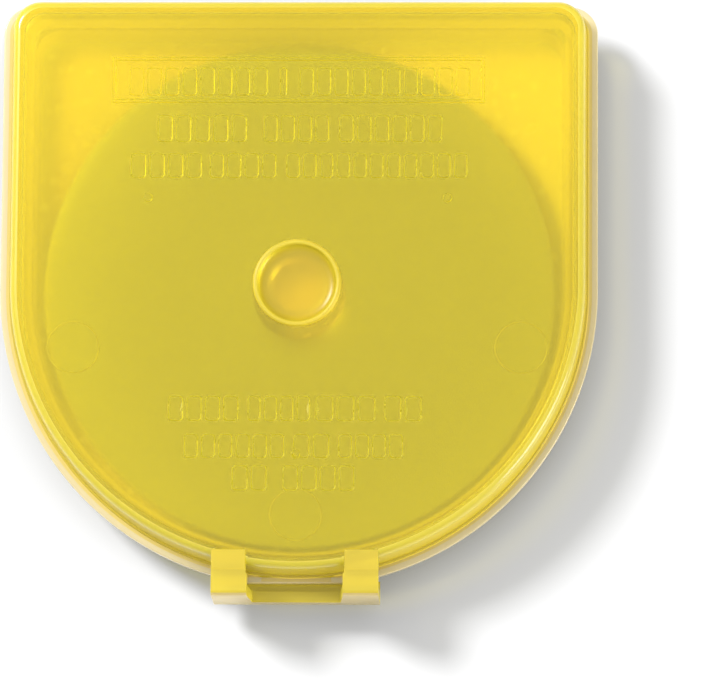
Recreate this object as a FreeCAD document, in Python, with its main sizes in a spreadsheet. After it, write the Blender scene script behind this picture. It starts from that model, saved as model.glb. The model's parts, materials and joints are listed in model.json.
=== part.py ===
"""Clamshell storage case for round 45 mm rotary-cutter blades, with a stack of five blades inside.

Millimetres, +Z up. The origin lies on the centre post's axis, at the underside of the base. +Y points to
the living hinge at the straight back edge, -Y to the hasp at the round front, and +X to the right of someone
who faces the hasp. The lid is shut and the hasp is hooked under the base's flange.
"""

import FreeCAD, Part
import math
import os

import Sketcher

CASE_SIZES = {
    # base
    "base_wall_radius": 24.2,
    "base_draft": 3.0,
    "floor_thickness": 1.0,
    "cavity_radius": 23.3,
    "foot_round": 0.8,
    "cavity_round": 0.5,
    "flange_radius": 26.2,
    "flange_back": 25.5,
    "flange_corner": 2.45,
    "flange_bottom": 4.0,
    "flange_top": 5.0,
    "catch_front": 25.84,
    "rim_radius": 23.85,
    "rim_height": 0.7,
    "seat_inner_radius": 4.6,
    "seat_outer_radius": 7.0,
    "seat_height": 0.3,
    # centre post
    "post_radius": 3.8,
    "post_bore_radius": 2.65,
    "post_top": 7.3,
    "post_chamfer": 0.4,
    # lid
    "lid_bottom": 5.05,
    "lid_top": 9.0,
    "lid_radius": 25.25,
    "lid_back": 25.35,
    "lid_corner": 2.5,
    "lid_draft": 3.0,
    "lid_wall": 1.0,
    "lid_plate": 1.1,
    "lid_edge_round": 0.7,
    "lid_inner_round": 0.4,
    "lip_width": 0.15,
    "lip_back": 25.4,
    "lip_height": 0.5,
    "dimple_radius": 3.4,
    "dimple_floor_radius": 2.57,
    "dimple_depth": 0.45,
    "bead_radius": 3.62,
    "bead_half_width": 0.24,
    "relief_height": 0.12,
    "relief_line": 0.35,
    "vestige_orbit": 15.1,
    "vestige_radius": 0.4,
    "vestige_height": 0.1,
    "ejector_orbit": 20.3,
    "ejector_radius": 2.28,
    "ejector_depth": 0.08,
    "spigot_radius": 2.45,
    "spigot_bottom": 6.5,
    "spigot_chamfer": 0.3,
    # hasp
    "hasp_half_width": 7.25,
    "hasp_half_gap": 4.25,
    "root_back": 23.4,
    "root_front": 25.2,
    "root_thickness": 0.8,
    "web_front": 25.5,
    "web_top": 8.95,
    "web_bottom": 8.6,
    "arm_thickness": 0.7,
    "strap_front": 27.45,
    "strap_back": 26.5,
    "strap_bend_round": 0.5,
    "hasp_bottom": 2.9,
    "crossbar_top": 4.4,
    "window_low_half": 3.85,
    "nose_back": 25.55,
    "nose_top": 3.9,
    "nose_lead": 0.4,
    # living hinge
    "hinge_half_length": 22.6,
    "hinge_axis_height": 5.03,
    "hinge_outer_radius": 0.4,
    "hinge_inner_radius": 0.15,
    "hinge_gap": 0.02,
    # blades
    "blade_radius": 22.5,
    "blade_hole_radius": 4.0,
    "blade_thickness": 0.3,
    "bevel_width": 1.0,
    "edge_land": 0.04,
    "blade_gap": 0.03,
    # how far a cutting sketch runs past the solid
    "cut_margin": 1.0,
}

BLADE_COUNT = 5
VESTIGE_COUNT = 3
VESTIGE_FIRST_ANGLE = 30.0
EJECTOR_ANGLES = (196.0, 270.0, 344.0)

# Edges are chosen by where they lie: every outline of the case reaches further out than OUTLINE_REACH.
OUTLINE_REACH = 20.0
TOLERANCE = 1e-4

# Relief on the lid: one plain raised frame, and rows of plain raised pads. Each row is its centre line and
# height in Y, then the X spans of its pads, in millimetres.
RELIEF_FRAME = (-16.3, 16.3, 16.0, 20.1)
RELIEF_ROWS = (
    (17.9, 2.5, ((-14.8, -2.7), (-1.6, -1.0), (0.1, 15.0))),
    (13.7, 2.4, ((-12.3, -4.5), (-3.0, 2.7), (3.6, 12.6))),
    (10.4, 2.2, ((-14.6, -8.4), (-7.7, -1.9), (-1.0, 14.8))),
    (-11.1, 2.2, ((-11.1, -5.0), (-4.2, 1.2), (1.7, 6.9), (7.7, 10.9))),
    (-14.4, 2.1, ((-9.7, -1.0), (-0.2, 2.9), (3.7, 9.3))),
    (-17.2, 2.2, ((-5.5, -2.5), (-1.1, 5.1))),
)

doc = FreeCAD.newDocument("BladeCase")
sizes = doc.addObject("Spreadsheet::Sheet", "sizes")
for row, (alias, size) in enumerate(CASE_SIZES.items(), start=1):
    sizes.set(f"A{row}", alias)
    sizes.set(f"B{row}", str(size))
    sizes.setAlias(f"B{row}", alias)
doc.recompute()


# ---------------------------------------------------------------- small helpers


def bound(formula):
    """Turns 'lid_radius - lid_wall' into an expression that names the sheet's cells."""
    words = []
    for word in formula.split():
        words.append(f"sizes.{word}" if word in CASE_SIZES else word)
    return " ".join(words)


def number(formula):
    """The formula's value now, for drawing geometry that its constraints then hold."""
    return float(sizes.evalExpression(bound(formula)))


def drive(feature, **formulas):
    """Binds properties of a feature to formulas of the sheet's cells."""
    for name, formula in formulas.items():
        feature.setExpression(name, bound(formula))


def new_body(label):
    body = doc.addObject("PartDesign::Body", label)
    body.Label = label
    body.Placement = FreeCAD.Placement()
    return body


def new_sketch(body, name, plane="XY_Plane", height=None):
    """A sketch on one of the body's own origin planes, lifted along the plane's normal by a formula."""
    sketch = body.newObject("Sketcher::SketchObject", name)
    support = next(f for f in body.Origin.OriginFeatures if f.Role == plane)
    sketch.AttachmentSupport = (support, [""])
    sketch.MapMode = "FlatFace"
    if height:
        sketch.setExpression("AttachmentOffset.Base.z", bound(height))
    return sketch


def hold(sketch, name, formula, *constraint):
    """Adds one dimension to a sketch, names it and binds it to a formula."""
    index = sketch.addConstraint(Sketcher.Constraint(*constraint, number(formula)))
    sketch.renameConstraint(index, name)
    sketch.setExpression(f".Constraints.{name}", bound(formula))


def vector(x, y):
    return FreeCAD.Vector(x, y, 0)


def draw_outline(sketch, tag, radius, back, corner):
    """Draws the case's D shape: a half circle in front, straight sides and round back corners."""
    r = number(radius)
    b = number(back)
    c = number(corner)
    normal = FreeCAD.Vector(0, 0, 1)
    front_round = Part.Circle(vector(0, 0), normal, r)
    front = sketch.addGeometry(Part.ArcOfCircle(front_round, math.pi, 2 * math.pi))
    right = sketch.addGeometry(Part.LineSegment(vector(r, 0), vector(r, b - c)))
    right_round = Part.Circle(vector(r - c, b - c), normal, c)
    right_corner = sketch.addGeometry(Part.ArcOfCircle(right_round, 0, math.pi / 2))
    rear = sketch.addGeometry(Part.LineSegment(vector(r - c, b), vector(c - r, b)))
    left_round = Part.Circle(vector(c - r, b - c), normal, c)
    left_corner = sketch.addGeometry(Part.ArcOfCircle(left_round, math.pi / 2, math.pi))
    left = sketch.addGeometry(Part.LineSegment(vector(-r, b - c), vector(-r, 0)))
    loop = (front, right, right_corner, rear, left_corner, left)
    for first, second in zip(loop, loop[1:] + loop[:1]):
        sketch.addConstraint(Sketcher.Constraint("Tangent", first, 2, second, 1))
    sketch.addConstraint(Sketcher.Constraint("Coincident", front, 3, -1, 1))
    sketch.addConstraint(Sketcher.Constraint("Vertical", right))
    sketch.addConstraint(Sketcher.Constraint("Vertical", left))
    sketch.addConstraint(Sketcher.Constraint("Horizontal", rear))
    sketch.addConstraint(Sketcher.Constraint("Equal", left_corner, right_corner))
    hold(sketch, f"{tag}_radius", radius, "Radius", front)
    hold(sketch, f"{tag}_corner", corner, "Radius", right_corner)
    hold(sketch, f"{tag}_back", back, "DistanceY", -1, 1, rear, 1)


def draw_circle(sketch, tag, radius, x="0", y="0"):
    """Draws a circle round a point whose coordinates are formulas."""
    centre = vector(number(x), number(y))
    circle = sketch.addGeometry(Part.Circle(centre, FreeCAD.Vector(0, 0, 1), number(radius)))
    hold(sketch, f"{tag}_radius", radius, "Radius", circle)
    hold(sketch, f"{tag}_x", x, "DistanceX", -1, 1, circle, 3)
    hold(sketch, f"{tag}_y", y, "DistanceY", -1, 1, circle, 3)


def draw_polygon(sketch, tag, corners):
    """Draws a closed polygon through corners given as (x, y) formulas, and holds every corner."""
    points = [vector(number(x), number(y)) for x, y in corners]
    edges = []
    for start, end in zip(points, points[1:] + points[:1]):
        edges.append(sketch.addGeometry(Part.LineSegment(start, end)))
    for first, second in zip(edges, edges[1:] + edges[:1]):
        sketch.addConstraint(Sketcher.Constraint("Coincident", first, 2, second, 1))
    for step, (edge, (x, y)) in enumerate(zip(edges, corners)):
        hold(sketch, f"{tag}_x{step}", x, "DistanceX", -1, 1, edge, 1)
        hold(sketch, f"{tag}_y{step}", y, "DistanceY", -1, 1, edge, 1)


def draw_box(sketch, tag, left, right, low, high):
    """Draws a rectangle between formulas."""
    draw_polygon(sketch, tag, ((left, low), (right, low), (right, high), (left, high)))


def add_feature(body, kind, name, sketch, reverse=False, **formulas):
    """A Pad or Pocket of one sketch; each keyword binds one of its sizes to a formula."""
    feature = body.newObject(f"PartDesign::{kind}", name)
    feature.Profile = sketch
    feature.Reversed = reverse
    drive(feature, **formulas)
    doc.recompute()
    return feature


def add_turned(body, kind, name, sketch):
    """A Revolution or Groove of one sketch through a full turn about the sketch's vertical axis."""
    feature = body.newObject(f"PartDesign::{kind}", name)
    feature.Profile = sketch
    feature.ReferenceAxis = (sketch, ["V_Axis"])
    feature.Angle = 360
    doc.recompute()
    return feature


def dress_edges(body, kind, name, base, keep, **formulas):
    """A Fillet or Chamfer on those edges of the base feature that keep() accepts."""
    chosen = [f"Edge{i}" for i, edge in enumerate(base.Shape.Edges, start=1) if keep(edge)]
    if not chosen:
        raise RuntimeError(f"{name}: no edge chosen")
    feature = body.newObject(f"PartDesign::{kind}", name)
    feature.Base = (base, chosen)
    drive(feature, **formulas)
    doc.recompute()
    return feature


def lies_at(edge, height, reach=0.0):
    """True where an edge lies flat at a height and reaches further than that from the post's axis."""
    box = edge.BoundBox
    far = max(math.hypot(v.X, v.Y) for v in edge.Vertexes)
    flat = abs(box.ZMin - height) < TOLERANCE and abs(box.ZMax - height) < TOLERANCE
    return flat and far > reach


# ---------------------------------------------------------------- base


def make_base_tray():
    """Lower half: a drafted tray with a flange at its mouth, a locating rim and a raised blade seat."""
    body = new_body("base_tray")
    sketch = new_sketch(body, "base_wall_outline")
    draw_outline(sketch, "wall", "base_wall_radius", "base_wall_radius", "flange_corner")
    wall = add_feature(body, "Pad", "base_wall", sketch, Length="flange_bottom", TaperAngle="base_draft")

    def is_underside(edge):
        return lies_at(edge, 0, OUTLINE_REACH)

    dress_edges(body, "Fillet", "base_foot", wall, is_underside, Radius="foot_round")

    sketch = new_sketch(body, "flange_outline", height="flange_bottom")
    draw_outline(sketch, "flange", "flange_radius", "flange_back", "flange_corner")
    add_feature(body, "Pad", "flange", sketch, Length="flange_top - flange_bottom")

    sketch = new_sketch(body, "locating_rim_outline", height="flange_top")
    draw_outline(sketch, "rim", "rim_radius", "rim_radius", "flange_corner")
    add_feature(body, "Pad", "locating_rim", sketch, Length="rim_height")

    sketch = new_sketch(body, "cavity_outline", height="flange_top + rim_height")
    draw_outline(sketch, "cavity", "cavity_radius", "cavity_radius", "flange_corner")
    depth = "flange_top + rim_height - floor_thickness"
    cavity = add_feature(body, "Pocket", "cavity", sketch, Length=depth)
    floor = number("floor_thickness")

    def is_foot(edge):
        return lies_at(edge, floor, OUTLINE_REACH)

    dress_edges(body, "Fillet", "cavity_foot", cavity, is_foot, Radius="cavity_round")

    sketch = new_sketch(body, "seat_outline", height="floor_thickness")
    draw_circle(sketch, "outer", "seat_outer_radius")
    draw_circle(sketch, "inner", "seat_inner_radius")
    add_feature(body, "Pad", "blade_seat", sketch, Length="seat_height")

    # The flange is cut straight where the hasp's crossbar hooks under it.
    sketch = new_sketch(body, "catch_outline", height="flange_top")
    reach = "hasp_half_width"
    draw_box(sketch, "catch", f"-1 * {reach}", reach, "-1 * flange_radius - cut_margin", "-1 * catch_front")
    add_feature(body, "Pocket", "catch_flat", sketch, Length="flange_top - flange_bottom")
    return body


def make_centre_post():
    """Hollow post on the floor; the blades' holes drop over it."""
    body = new_body("centre_post")
    sketch = new_sketch(body, "post_outline", height="floor_thickness")
    draw_circle(sketch, "outer", "post_radius")
    draw_circle(sketch, "bore", "post_bore_radius")
    tube = add_feature(body, "Pad", "post_tube", sketch, Length="post_top - floor_thickness")
    top = number("post_top")
    mid_wall = number("( post_bore_radius + post_radius ) / 2")
    dress_edges(body, "Chamfer", "post_lead", tube, lambda e: lies_at(e, top, mid_wall), Size="post_chamfer")
    return body


def make_living_hinge():
    """Thin web bent round the hinge axis, from the flange's back edge to the lid's lip."""
    body = new_body("living_hinge")
    sketch = new_sketch(body, "hinge_section", plane="YZ_Plane")
    axis_y = number("flange_back")
    axis_z = number("hinge_axis_height")
    outer = number("hinge_outer_radius")
    inner = number("hinge_inner_radius")
    lip_y = number("lip_back + hinge_gap")
    centre = vector(axis_y, axis_z)
    normal = FreeCAD.Vector(0, 0, 1)
    outer_arc = Part.ArcOfCircle(Part.Circle(centre, normal, outer), -math.pi / 2, math.pi / 2)
    inner_arc = Part.ArcOfCircle(Part.Circle(centre, normal, inner), -math.pi / 2, math.pi / 2)
    bend_out = sketch.addGeometry(outer_arc)
    bend_in = sketch.addGeometry(inner_arc)
    line = Part.LineSegment
    top = sketch.addGeometry(line(vector(axis_y, axis_z + outer), vector(lip_y, axis_z + outer)))
    tip = sketch.addGeometry(line(vector(lip_y, axis_z + outer), vector(lip_y, axis_z + inner)))
    under = sketch.addGeometry(line(vector(lip_y, axis_z + inner), vector(axis_y, axis_z + inner)))
    foot = sketch.addGeometry(line(vector(axis_y, axis_z - inner), vector(axis_y, axis_z - outer)))
    sketch.addConstraint(Sketcher.Constraint("Tangent", bend_out, 2, top, 1))
    sketch.addConstraint(Sketcher.Constraint("Coincident", top, 2, tip, 1))
    sketch.addConstraint(Sketcher.Constraint("Coincident", tip, 2, under, 1))
    sketch.addConstraint(Sketcher.Constraint("Tangent", under, 2, bend_in, 2))
    sketch.addConstraint(Sketcher.Constraint("Coincident", bend_in, 1, foot, 1))
    sketch.addConstraint(Sketcher.Constraint("Coincident", foot, 2, bend_out, 1))
    sketch.addConstraint(Sketcher.Constraint("Coincident", bend_in, 3, bend_out, 3))
    sketch.addConstraint(Sketcher.Constraint("Vertical", tip))
    sketch.addConstraint(Sketcher.Constraint("Vertical", foot))
    sketch.addConstraint(Sketcher.Constraint("Horizontal", top))
    hold(sketch, "outer_radius", "hinge_outer_radius", "Radius", bend_out)
    hold(sketch, "inner_radius", "hinge_inner_radius", "Radius", bend_in)
    hold(sketch, "axis_y", "flange_back", "DistanceX", -1, 1, bend_out, 3)
    hold(sketch, "axis_z", "hinge_axis_height", "DistanceY", -1, 1, bend_out, 3)
    hold(sketch, "foot_y", "flange_back", "DistanceX", -1, 1, foot, 1)
    hold(sketch, "lip_y", "lip_back + hinge_gap", "DistanceX", -1, 1, tip, 1)
    web = add_feature(body, "Pad", "hinge_web", sketch, Length="2 * hinge_half_length")
    web.Midplane = True
    doc.recompute()
    return body


# ---------------------------------------------------------------- lid


def make_lid_shell():
    """Upper half: a drafted shell with a rounded edge, a lip, a dimple with a bead, and plain relief."""
    body = new_body("lid_shell")
    top = number("lid_top")
    sketch = new_sketch(body, "lid_outline", height="lid_bottom")
    draw_outline(sketch, "lid", "lid_radius", "lid_back", "lid_corner")
    height = "lid_top - lid_bottom"
    block = add_feature(body, "Pad", "lid_block", sketch, Length=height, TaperAngle="-1 * lid_draft")

    def is_top_edge(edge):
        return lies_at(edge, top, OUTLINE_REACH)

    dress_edges(body, "Fillet", "lid_edge", block, is_top_edge, Radius="lid_edge_round")

    sketch = new_sketch(body, "lip_outline", height="lid_bottom")
    draw_outline(sketch, "lip", "lid_radius + lip_width", "lip_back", "lid_corner + lip_width")
    add_feature(body, "Pad", "lid_lip", sketch, Length="lip_height")

    # The hasp's straps start as two short roots, flush with the lid's top.
    for side, sign in (("left", -1), ("right", 1)):
        sketch = new_sketch(body, f"root_outline_{side}", height="lid_top - root_thickness")
        near = f"{sign} * hasp_half_gap"
        far = f"{sign} * hasp_half_width"
        draw_box(sketch, "root", near, far, "-1 * root_front", "-1 * root_back")
        add_feature(body, "Pad", f"hasp_root_{side}", sketch, Length="root_thickness")

    sketch = new_sketch(body, "hollow_outline", height="lid_bottom")
    inside = "lid_radius - lid_wall"
    draw_outline(sketch, "hollow", inside, "lid_back - lid_wall", "lid_corner - lid_wall / 2")
    depth = "lid_top - lid_plate - lid_bottom"
    hollow = add_feature(body, "Pocket", "lid_hollow", sketch, reverse=True, Length=depth)
    ceiling = number("lid_top - lid_plate")

    def is_ceiling_edge(edge):
        return lies_at(edge, ceiling, OUTLINE_REACH)

    dress_edges(body, "Fillet", "hollow_edge", hollow, is_ceiling_edge, Radius="lid_inner_round")

    sketch = new_sketch(body, "dimple_section", plane="XZ_Plane")
    floor = "lid_top - dimple_depth"
    corners = (("0", "lid_top"), ("0", floor), ("dimple_floor_radius", floor), ("dimple_radius", "lid_top"))
    draw_polygon(sketch, "dimple", corners)
    add_turned(body, "Groove", "dimple", sketch)

    sketch = new_sketch(body, "bead_section", plane="XZ_Plane")
    middle = vector(number("bead_radius"), number("lid_top"))
    bead_circle = Part.Circle(middle, FreeCAD.Vector(0, 0, 1), number("bead_half_width"))
    crown = sketch.addGeometry(Part.ArcOfCircle(bead_circle, 0, math.pi))
    half = number("bead_half_width")
    chord_ends = (vector(middle.x - half, middle.y), vector(middle.x + half, middle.y))
    chord = sketch.addGeometry(Part.LineSegment(*chord_ends))
    sketch.addConstraint(Sketcher.Constraint("Coincident", crown, 2, chord, 1))
    sketch.addConstraint(Sketcher.Constraint("Coincident", chord, 2, crown, 1))
    sketch.addConstraint(Sketcher.Constraint("Horizontal", chord))
    sketch.addConstraint(Sketcher.Constraint("PointOnObject", crown, 3, chord))
    hold(sketch, "bead_half_width", "bead_half_width", "Radius", crown)
    hold(sketch, "bead_radius", "bead_radius", "DistanceX", -1, 1, crown, 3)
    hold(sketch, "bead_height", "lid_top", "DistanceY", -1, 1, crown, 3)
    add_turned(body, "Revolution", "bead", sketch)

    sketch = new_sketch(body, "relief_outline", height="lid_top")
    left, right, low, high = (str(place) for place in RELIEF_FRAME)
    draw_box(sketch, "frame_outer", left, right, low, high)
    line = "relief_line"
    inner = (f"{left} + {line}", f"{right} - {line}", f"{low} + {line}", f"{high} - {line}")
    draw_box(sketch, "frame_inner", *inner)
    for row, (centre, tall, spans) in enumerate(RELIEF_ROWS):
        low = str(centre - tall / 2)
        high = str(centre + tall / 2)
        for pad, (left, right) in enumerate(spans):
            draw_box(sketch, f"row{row}_pad{pad}", str(left), str(right), low, high)
    add_feature(body, "Pad", "relief", sketch, Length="relief_height")

    # Three small gate marks stand on the lid, evenly round the post's axis.
    sketch = new_sketch(body, "vestige_outline", height="lid_top")
    for mark in range(VESTIGE_COUNT):
        angle = VESTIGE_FIRST_ANGLE + mark * 360 / VESTIGE_COUNT
        across = f"vestige_orbit * cos( {angle} )"
        along = f"vestige_orbit * sin( {angle} )"
        draw_circle(sketch, f"vestige{mark}", "vestige_radius", across, along)
    add_feature(body, "Pad", "gate_vestiges", sketch, Length="vestige_height")

    # Three shallow ejector marks lie in the lid's inner face.
    sketch = new_sketch(body, "ejector_outline", height="lid_top - lid_plate")
    for mark, angle in enumerate(EJECTOR_ANGLES):
        across = f"ejector_orbit * cos( {angle} )"
        along = f"ejector_orbit * sin( {angle} )"
        draw_circle(sketch, f"ejector{mark}", "ejector_radius", across, along)
    add_feature(body, "Pocket", "ejector_marks", sketch, reverse=True, Length="ejector_depth")
    return body


def make_lid_spigot():
    """Short round boss under the dimple; it closes the post's bore when the lid is shut."""
    body = new_body("lid_spigot")
    sketch = new_sketch(body, "spigot_outline", height="spigot_bottom")
    draw_circle(sketch, "spigot", "spigot_radius")
    length = "lid_top - lid_plate - spigot_bottom"
    boss = add_feature(body, "Pad", "spigot_boss", sketch, Length=length)
    low = number("spigot_bottom")
    dress_edges(body, "Chamfer", "spigot_lead", boss, lambda e: lies_at(e, low), Size="spigot_chamfer")
    return body


# ---------------------------------------------------------------- hasp


def make_film_hinges():
    """Two thin webs, one behind each strap: they let the hasp flex outwards."""
    left = doc.addObject("Part::Box", "film_hinge_left")
    right = doc.addObject("Part::Box", "film_hinge_right")
    for web, start in ((left, "-1 * hasp_half_width"), (right, "hasp_half_gap")):
        drive(web, Length="hasp_half_width - hasp_half_gap")
        drive(web, Width="web_front - root_front", Height="web_top - web_bottom")
        web.setExpression("Placement.Base.x", bound(start))
        web.setExpression("Placement.Base.y", bound("-1 * web_front"))
        web.setExpression("Placement.Base.z", bound("web_bottom"))
    pair = doc.addObject("Part::Compound", "hasp_film_hinges")
    pair.Label = "hasp_film_hinges"
    pair.Links = [left, right]
    pair.Placement = FreeCAD.Placement()
    doc.recompute()
    return pair


def make_hasp():
    """Two straps that bend down over the flange, joined by a crossbar with a hook nose."""
    body = new_body("hasp")
    sketch = new_sketch(body, "hasp_section", plane="YZ_Plane")
    corners = (
        ("-1 * web_front", "lid_top"),
        ("-1 * strap_front", "lid_top"),
        ("-1 * strap_front", "hasp_bottom"),
        ("-1 * nose_back - nose_lead", "hasp_bottom"),
        ("-1 * nose_back", "hasp_bottom + nose_lead"),
        ("-1 * nose_back", "nose_top"),
        ("-1 * strap_back", "nose_top"),
        ("-1 * strap_back", "lid_top - arm_thickness"),
        ("-1 * web_front", "lid_top - arm_thickness"),
    )
    draw_polygon(sketch, "hasp", corners)
    strip = add_feature(body, "Pad", "hasp_strip", sketch, Length="2 * hasp_half_width")
    strip.Midplane = True
    doc.recompute()

    front = -number("strap_front")
    top = number("lid_top")

    def is_bend(edge):
        box = edge.BoundBox
        across = abs(box.YMin - front) < TOLERANCE and abs(box.YMax - front) < TOLERANCE
        return across and abs(box.ZMin - top) < TOLERANCE

    dress_edges(body, "Fillet", "strap_bend", strip, is_bend, Radius="strap_bend_round")

    # The window leaves a strap at each end, wider towards the crossbar between them.
    sketch = new_sketch(body, "window_outline", plane="XZ_Plane")
    corners = (
        ("-1 * hasp_half_gap", "lid_top"),
        ("hasp_half_gap", "lid_top"),
        ("window_low_half", "crossbar_top"),
        ("-1 * window_low_half", "crossbar_top"),
    )
    draw_polygon(sketch, "window", corners)
    window = add_feature(body, "Pocket", "hasp_window", sketch, Length="2 * ( strap_front + cut_margin )")
    window.Midplane = True
    return body


# ---------------------------------------------------------------- blades


def make_blade(index):
    """One blade: a thin steel disc with a hole, ground from both sides to a narrow edge."""
    body = new_body(f"blade_{index + 1}")
    lift = f"floor_thickness + seat_height + blade_gap + {index} * ( blade_thickness + blade_gap )"
    body.setExpression("Placement.Base.z", bound(lift))
    sketch = new_sketch(body, f"blade_section_{index + 1}", plane="XZ_Plane")
    shoulder = "blade_radius - bevel_width"
    corners = (
        ("blade_hole_radius", "0"),
        (shoulder, "0"),
        ("blade_radius", "( blade_thickness - edge_land ) / 2"),
        ("blade_radius", "( blade_thickness + edge_land ) / 2"),
        (shoulder, "blade_thickness"),
        ("blade_hole_radius", "blade_thickness"),
    )
    draw_polygon(sketch, "blade", corners)
    add_turned(body, "Revolution", f"blade_disc_{index + 1}", sketch)
    return body


# ---------------------------------------------------------------- make, check and write

pieces = [
    make_base_tray(),
    make_centre_post(),
    make_living_hinge(),
    make_lid_shell(),
    make_lid_spigot(),
    make_film_hinges(),
    make_hasp(),
]
pieces += [make_blade(index) for index in range(BLADE_COUNT)]
doc.recompute()

for thing in doc.Objects:
    if "Invalid" in thing.State or "Error" in thing.State:
        raise RuntimeError(f"{thing.Label} failed: {thing.State}")
os.makedirs("parts", exist_ok=True)
for piece in pieces:
    shape = piece.Shape
    if shape.isNull() or not shape.isValid():
        raise RuntimeError(f"{piece.Label} has no valid shape")
for piece in pieces:
    shape = piece.Shape
    shape.exportStep(f"parts/{piece.Label}.step")
    box = shape.BoundBox
    print(
        f"{piece.Label:18s} solids {len(shape.Solids)} volume {shape.Volume:9.2f}"
        f"  X {box.XMin:7.2f} {box.XMax:7.2f}"
        f"  Y {box.YMin:7.2f} {box.YMax:7.2f}"
        f"  Z {box.ZMin:6.2f} {box.ZMax:6.2f}"
    )
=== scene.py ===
"""Looks for the rotary-cutter blade case: a translucent yellow clamshell with steel blades inside.

Every shell is built here as one finely divided mesh with an inside and an outside, because light bends
through it. The CAD nodes it stands for stay in the physics. Shapes are drawn in millimetres, in the CAD
frame, and turned into metres when a mesh is made.
"""

import json
import math

import bmesh
import bpy
from mathutils import Matrix, Vector
from mathutils.geometry import delaunay_2d_cdt


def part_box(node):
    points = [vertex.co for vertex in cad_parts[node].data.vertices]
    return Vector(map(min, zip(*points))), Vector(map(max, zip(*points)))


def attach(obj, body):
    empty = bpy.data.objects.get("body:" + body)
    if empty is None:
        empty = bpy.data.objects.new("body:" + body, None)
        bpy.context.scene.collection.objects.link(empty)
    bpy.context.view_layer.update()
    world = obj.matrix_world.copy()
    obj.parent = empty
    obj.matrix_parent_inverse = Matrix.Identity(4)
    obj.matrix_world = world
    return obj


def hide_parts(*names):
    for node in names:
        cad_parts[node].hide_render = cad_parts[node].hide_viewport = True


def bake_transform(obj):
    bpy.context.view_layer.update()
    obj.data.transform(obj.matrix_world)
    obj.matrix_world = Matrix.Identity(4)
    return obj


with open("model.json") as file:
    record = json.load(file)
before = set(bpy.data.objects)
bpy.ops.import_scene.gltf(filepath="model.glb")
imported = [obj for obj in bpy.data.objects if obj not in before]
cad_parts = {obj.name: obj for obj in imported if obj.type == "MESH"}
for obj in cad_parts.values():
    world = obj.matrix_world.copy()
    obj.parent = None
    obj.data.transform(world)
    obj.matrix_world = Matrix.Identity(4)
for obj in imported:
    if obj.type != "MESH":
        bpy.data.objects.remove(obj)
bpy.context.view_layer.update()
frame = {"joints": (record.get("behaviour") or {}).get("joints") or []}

MM = 0.001
scene = bpy.context.scene


# ---------------------------------------------------------------- sizes, in millimetres


def top_of(node):
    """The highest corner of a CAD node's box."""
    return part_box(node)[1] / MM


def bottom_of(node):
    """The lowest corner of a CAD node's box."""
    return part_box(node)[0] / MM


FLANGE_RADIUS = top_of("base_tray").x
FLANGE_BACK = top_of("base_tray").y
FLANGE_CORNER = 2.45
FLANGE_FRONT = -bottom_of("base_tray").y
FLANGE_TOP = 5.0
FLANGE_THICK = 1.0
FLANGE_ROUND = 0.12
PALE_EDGE = 0.5
RIM_TOP = top_of("base_tray").z
RIM_RADIUS = 23.85
RIM_ROUND = 0.15
RIM_FILLET = 0.1
CAVITY_RADIUS = 23.3
FLOOR = bottom_of("centre_post").z
WALL_RADIUS = 24.2
FOOT_ROUND = 0.8
CAVITY_ROUND = 0.5
SEAT_HEIGHT = 0.3
SEAT_OUTER = 7.0
SEAT_INNER = 4.6
SEAT_ROUND = 0.06
POST_RADIUS = top_of("centre_post").x
POST_BORE = 2.65
POST_TOP = top_of("centre_post").z
POST_CHAMFER = 0.4
BORE_CHAMFER = POST_CHAMFER * 0.3
BORE_FILLET = 0.1
POST_FILLET = 0.15
UNDERSIDE_RADII = (2.0, 9.0)

# The smallest loop of a turned shape, which a fan closes.
TURN_CENTRE = 1.2

LIP_WIDTH = 0.15
LIP_HEIGHT = 0.5
LIP_ROUND = 0.07
LID_BOTTOM = bottom_of("lid_shell").z
LID_RADIUS = top_of("lid_shell").x - LIP_WIDTH
LIP_BACK = top_of("lid_shell").y
LIP_BACK_WIDTH = 0.05
LID_BACK = LIP_BACK - LIP_BACK_WIDTH
LID_CORNER = 2.5
CORNER_SHRINK = 0.6
LID_TOP = top_of("hasp").z
LID_WALL = 1.0
CEILING = top_of("lid_spigot").z
EDGE_ROUND = 0.7
SHOULDER_DROP = 0.1
SHOULDER_STEP = 0.005
INNER_ROUND = 0.4
DRAFT = math.tan(math.radians(3.0))

BEAD_RADIUS = 3.62
BEAD_HALF = top_of("lid_shell").z - LID_TOP
DIMPLE_FLOOR_RADIUS = 2.57
DIMPLE_DEPTH = 0.45
DIMPLE_LIP = 0.05
DIMPLE_FLAT_EDGE = 0.3
DIMPLE_TURN = 86
DIMPLE_STEPS = 8
BEAD_FOOT = 0.12
SPIGOT_RADIUS = top_of("lid_spigot").x
SPIGOT_BOTTOM = bottom_of("lid_spigot").z
SPIGOT_CHAMFER = 0.3
SPIGOT_FILLET = 0.15
RELIEF_HEIGHT = 0.07

HASP_HALF = top_of("hasp").x
GAP_HALF = 4.25
STRAP_SPANS = ((-HASP_HALF, -GAP_HALF), (GAP_HALF, HASP_HALF))
WINDOW_TAPER = 0.4
STRAP_FRONT = bottom_of("hasp").y
STRAP_THICK = 0.95
STRAP_ROUND = 0.5
HASP_ROUND = 0.1
ROOT_BACK = -23.4
ROOT_FRONT = top_of("hasp_film_hinges").y
WEB_FRONT = bottom_of("hasp_film_hinges").y
WEB_BOTTOM = bottom_of("hasp_film_hinges").z
ROOT_THICK = 0.8
ROOT_RISE = 0.012
ROOT_OVERLAP = 0.12
EDGE_BEVEL = 0.06
WEB_INSET = 0.01
WEB_OVERLAP = 0.2
CUT_MARGIN = 1
ARM_THICK = 0.7
HASP_BOTTOM = bottom_of("hasp").z
CROSSBAR_TOP = 4.4
NOSE_BACK = -25.55
NOSE_TOP = 3.9
NOSE_LEAD = 0.4

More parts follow.
